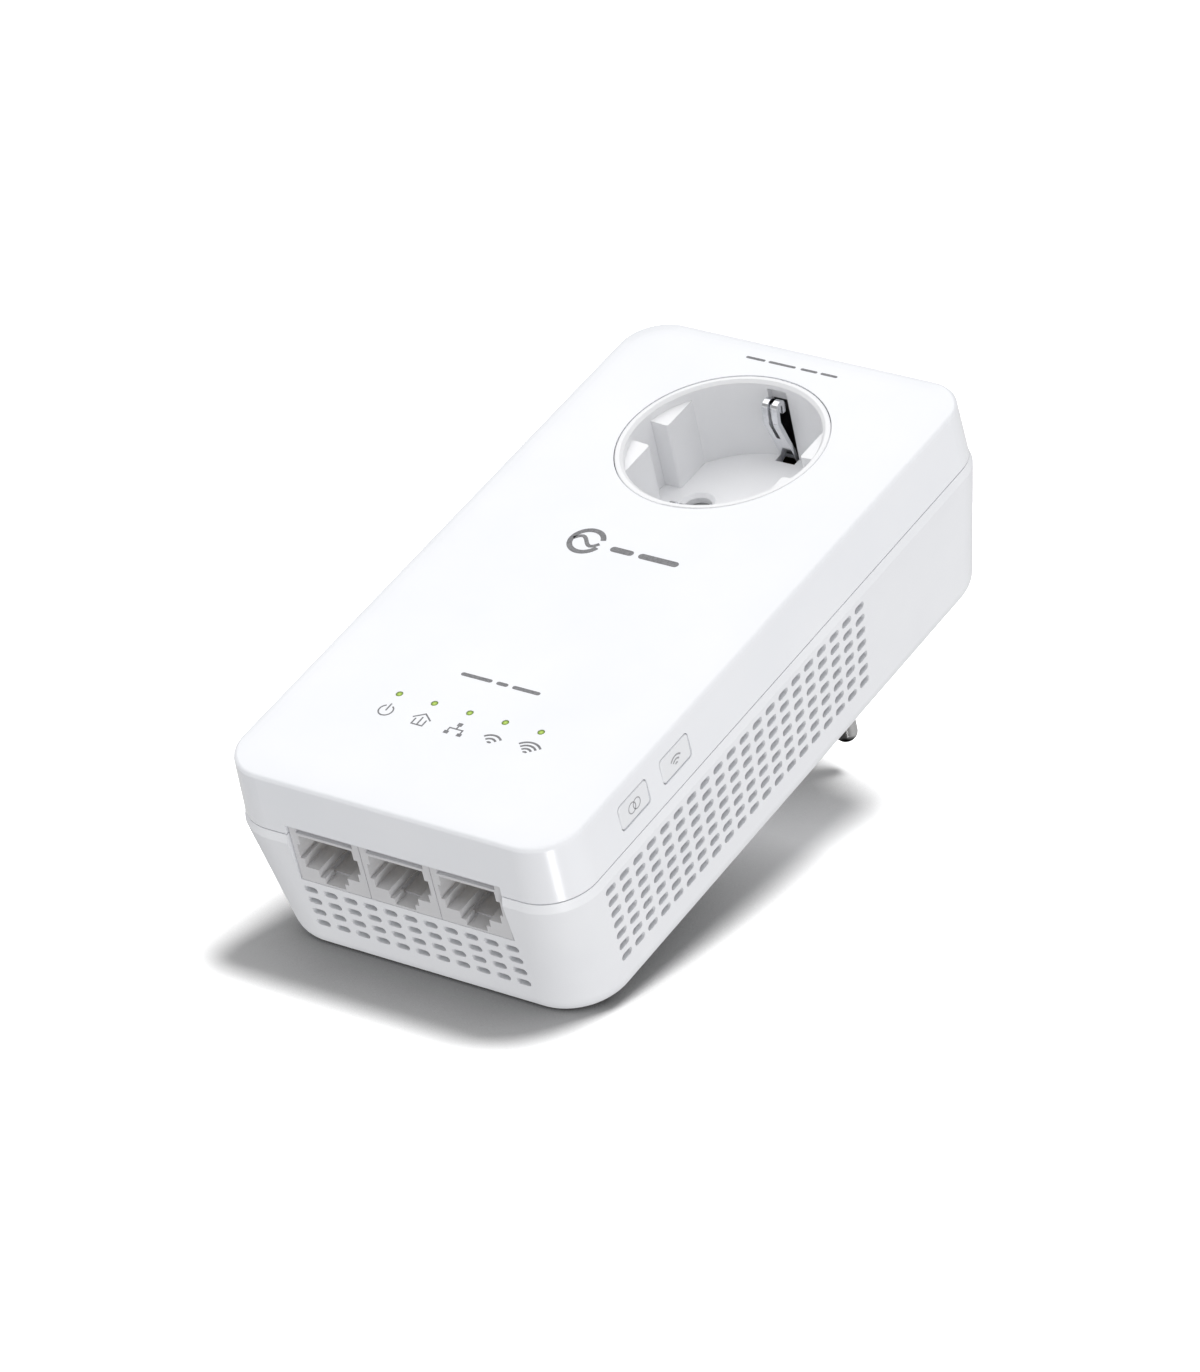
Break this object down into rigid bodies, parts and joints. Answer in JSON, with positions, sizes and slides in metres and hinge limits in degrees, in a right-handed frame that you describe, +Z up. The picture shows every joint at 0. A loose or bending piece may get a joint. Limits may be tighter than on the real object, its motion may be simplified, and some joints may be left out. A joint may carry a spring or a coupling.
{
  "type": "powerline adapter",
  "caption": "Wall-plug powerline network adapter with a pass-through mains socket, network ports and push buttons.",
  "frame": {"origin": "centre of the plug's mating face, between the pins", "axes": "+Z up along the case as it hangs on a wall socket, +Y into the wall along the pins, front face towards -Y"},
  "size_m": [0.0784, 0.0765, 0.1492],
  "materials": {
    "cover_plastic": "glossy white moulded plastic",
    "case_plastic": "finely textured white moulded plastic",
    "socket_plastic": "light grey moulded plastic, white ring",
    "plug_plastic": "white moulded plastic",
    "button_plastic": "white moulded plastic with a printed symbol",
    "jack_plastic": "light grey moulded plastic",
    "pin_metal": "bright nickel plate",
    "earth_metal": "bright sprung strip",
    "brass": "plain brass",
    "gold_wire": "gold flashed wire",
    "shutter_plastic": "grey moulded plastic",
    "block_plastic": "dark insulating plastic",
    "board_green": "green circuit board",
    "insulation": "thin insulating film",
    "screw_steel": "zinc plated steel",
    "spring_steel": "spring wire",
    "lens": "clear guide lit yellow green",
    "lamp": "lamp chip",
    "chip_black": "moulded black package",
    "ferrite": "grey black ferrite",
    "winding": "taped winding",
    "copper": "enamelled copper",
    "can_sleeve": "shrink sleeve on an aluminium can",
    "film_yellow": "film capacitor case",
    "disc_blue": "dipped coating",
    "fuse_sleeve": "sleeved fuse",
    "aluminium": "extruded fins",
    "shield_metal": "tinned shield",
    "cable_black": "thin lead jacket",
    "label": "blank label"
  },
  "bodies": {
    "case": {"front_cover": "cover_plastic", "rear_case": "case_plastic", "case_screws": "screw_steel", "rating_label": "label", "socket_well": "socket_plastic", "earth_strap": "earth_metal", "live_contact": "brass", "neutral_contact": "brass", "contact_block": "block_plastic", "shutter_spring": "spring_steel", "plug_base": "plug_plastic", "plug_pin_left": "pin_metal", "plug_pin_right": "pin_metal", "plug_earth_contact_upper": "earth_metal", "plug_earth_contact_lower": "earth_metal", "live_bar": "brass", "neutral_bar": "brass", "main_board": "board_green", "power_board": "board_green", "main_board_screws": "screw_steel", "power_board_screws": "screw_steel", "insulation_sheet": "insulation", "board_connector": "chip_black", "ethernet_jack_1": "jack_plastic", "ethernet_jack_2": "jack_plastic", "ethernet_jack_3": "jack_plastic", "jack_contacts": "gold_wire", "light_guide": "lens", "status_lamps": "lamp", "pair_switch": "chip_black", "wifi_switch": "chip_black", "transformer_core": "ferrite", "transformer_winding": "winding", "choke_core": "ferrite", "choke_windings": "copper", "bulk_capacitors": "can_sleeve", "output_capacitors": "can_sleeve", "x_capacitor": "film_yellow", "coupling_capacitor": "film_yellow", "signal_transformer": "chip_black", "bridge_rectifier": "chip_black", "fuse": "fuse_sleeve", "varistor": "disc_blue", "processor": "chip_black", "memory_chip": "chip_black", "heat_sink": "aluminium", "radio_shield": "shield_metal", "port_transformers": "chip_black", "antenna_left": "board_green", "antenna_right": "board_green", "antenna_lead_left": "cable_black", "antenna_lead_right": "cable_black", "antenna_connector_left": "brass", "antenna_connector_right": "brass"},
    "pair_button": {"pair_button": "button_plastic", "pair_switch_plunger": "block_plastic"},
    "wifi_button": {"wifi_button": "button_plastic", "wifi_switch_plunger": "block_plastic"},
    "safety_shutter": {"safety_shutter": "shutter_plastic"}
  },
  "joints": [
    {"name": "pair_press", "type": "slide", "parent": "case", "child": "pair_button", "axis": [-1, 0, 0], "range_m": [0, 0.0006], "stiffness_N_per_m": 600, "springref_m": -0.0006},
    {"name": "wifi_press", "type": "slide", "parent": "case", "child": "wifi_button", "axis": [-1, 0, 0], "range_m": [0, 0.0006], "stiffness_N_per_m": 600, "springref_m": -0.0006},
    {"name": "shutter_turn", "type": "hinge", "parent": "case", "child": "safety_shutter", "pos_m": [0, -0.03715, -0.007], "axis": [0, 1, 0], "range_deg": [0, 42], "stiffness_Nm_per_rad": 0.004, "springref_deg": -17.19}
  ]
}
